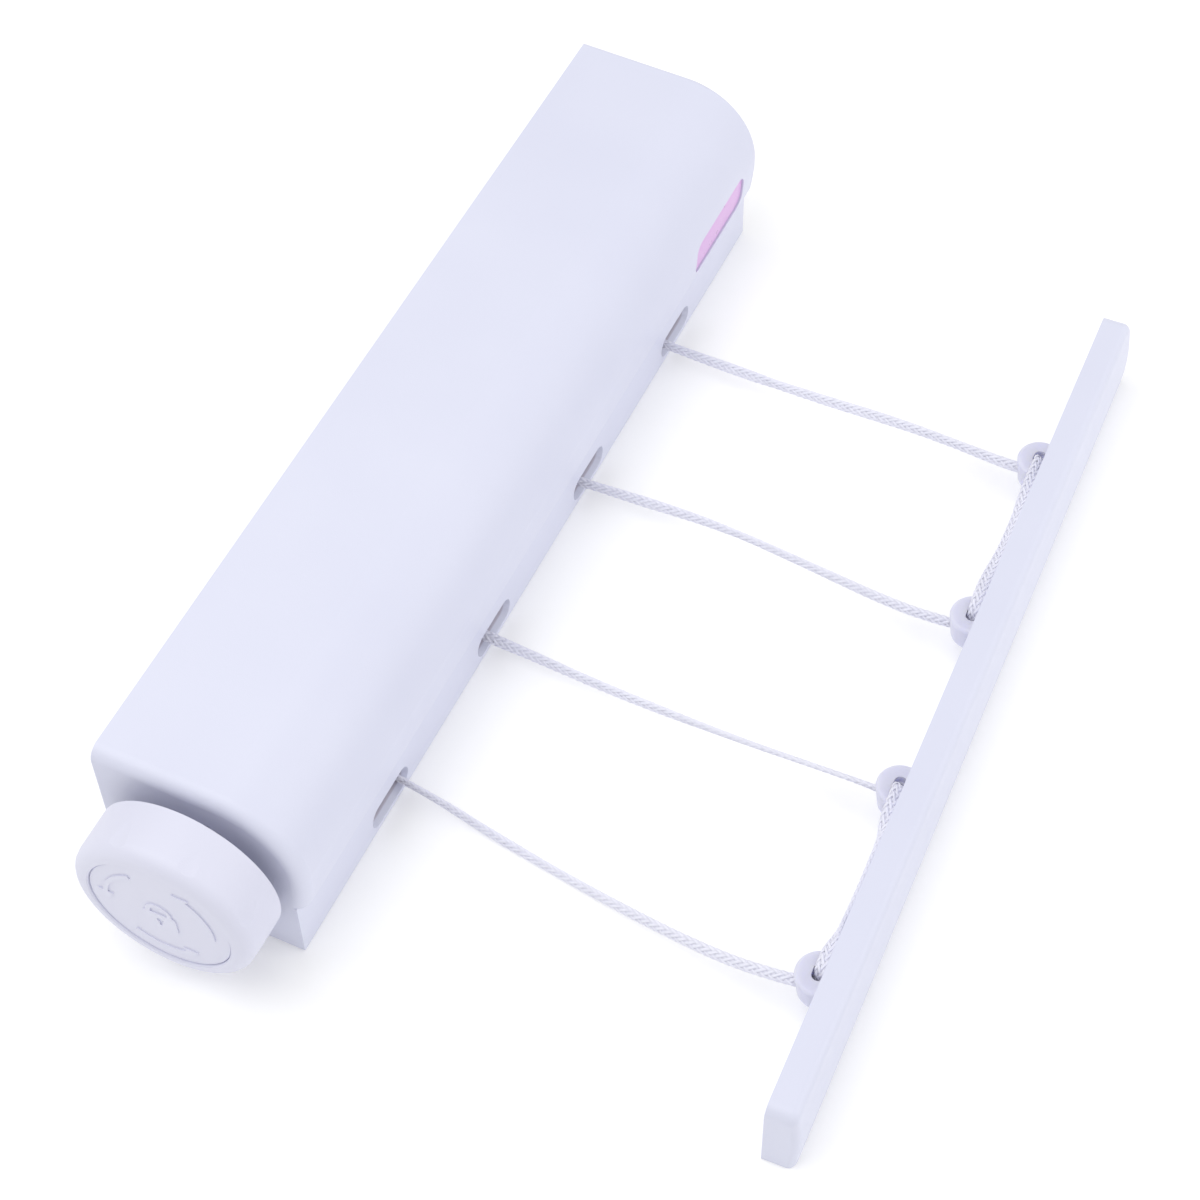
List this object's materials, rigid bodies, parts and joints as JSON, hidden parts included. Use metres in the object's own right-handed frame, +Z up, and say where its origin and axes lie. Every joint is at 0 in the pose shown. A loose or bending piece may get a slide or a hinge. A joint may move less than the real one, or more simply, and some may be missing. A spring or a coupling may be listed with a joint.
{
  "type": "retractable clothesline",
  "caption": "Wall-mounted retractable clothesline: D-section housing with a sprung drum and locking knob, and a pull bar on braided lines that run out of slots in its front.",
  "frame": {"origin": "centre of the housing's underside, on the surface the object lies on", "axes": "+X the way the lines run out towards the pull bar, +Y along the housing from the knob end to the far end, +Z up; the housing's flat back, which goes against a wall, faces -X"},
  "size_m": [0.2234, 0.3554, 0.069],
  "materials": {
    "white_housing": "satin moulded plastic",
    "white_knob": "satin moulded plastic",
    "white_bar": "satin moulded plastic",
    "pink_badge": "smooth inlay",
    "eyelet_plastic": "matt moulded plastic",
    "braided_cord": "braided polyester",
    "inner_plastic": "matt moulded plastic",
    "acetal": "self-lubricating plastic",
    "spring_steel": "blued strip",
    "shaft_steel": "drawn rod",
    "zinc_screw": "zinc plated"
  },
  "bodies": {
    "housing": {"housing_cover": "white_housing", "housing_base": "white_housing", "badge": "pink_badge", "case_screws": "zinc_screw", "lock_ring": "acetal", "lock_ring_screws": "zinc_screw", "bush_near": "acetal", "bush_far": "acetal", "spring_cup": "inner_plastic", "spring_cover": "inner_plastic", "power_spring": "spring_steel"},
    "drum": {"drum_tube": "inner_plastic", "drum_flange_1": "inner_plastic", "drum_flange_2": "inner_plastic", "drum_flange_3": "inner_plastic", "drum_flange_4": "inner_plastic", "drum_flange_5": "inner_plastic", "drum_hub_near": "inner_plastic", "drum_hub_far": "inner_plastic", "drum_shaft": "shaft_steel", "cord_winding_1": "braided_cord", "cord_winding_2": "braided_cord", "cord_winding_3": "braided_cord", "cord_winding_4": "braided_cord", "knob_screw": "zinc_screw"},
    "knob": {"knob": "white_knob", "knob_cap": "white_knob"},
    "bar": {"bar_shell": "white_bar", "bar_back": "white_bar", "eyelet_1": "eyelet_plastic", "eyelet_2": "eyelet_plastic", "eyelet_3": "eyelet_plastic", "eyelet_4": "eyelet_plastic", "bar_screws": "zinc_screw", "cord_a": "braided_cord", "cord_b": "braided_cord"}
  },
  "joints": [
    {"name": "bar_pull", "type": "slide", "parent": "housing", "child": "bar", "axis": [1, 0, 0], "range_m": [-0.1288, 3.0976], "deforming": ["cord_a", "cord_b"]},
    {"name": "drum_spin", "type": "hinge", "parent": "housing", "child": "drum", "pos_m": [0.0022, 0, 0.0395], "axis": [0, -1, 0], "range_deg": [-434.1, 10440], "deforming": ["power_spring"]},
    {"name": "knob_push", "type": "slide", "parent": "drum", "child": "knob", "axis": [0, 1, 0], "range_m": [0, 0.004]}
  ],
  "couplings": [
    {"joint": "drum_spin", "follows": "bar_pull", "rad_per_m": 58.824}
  ]
}
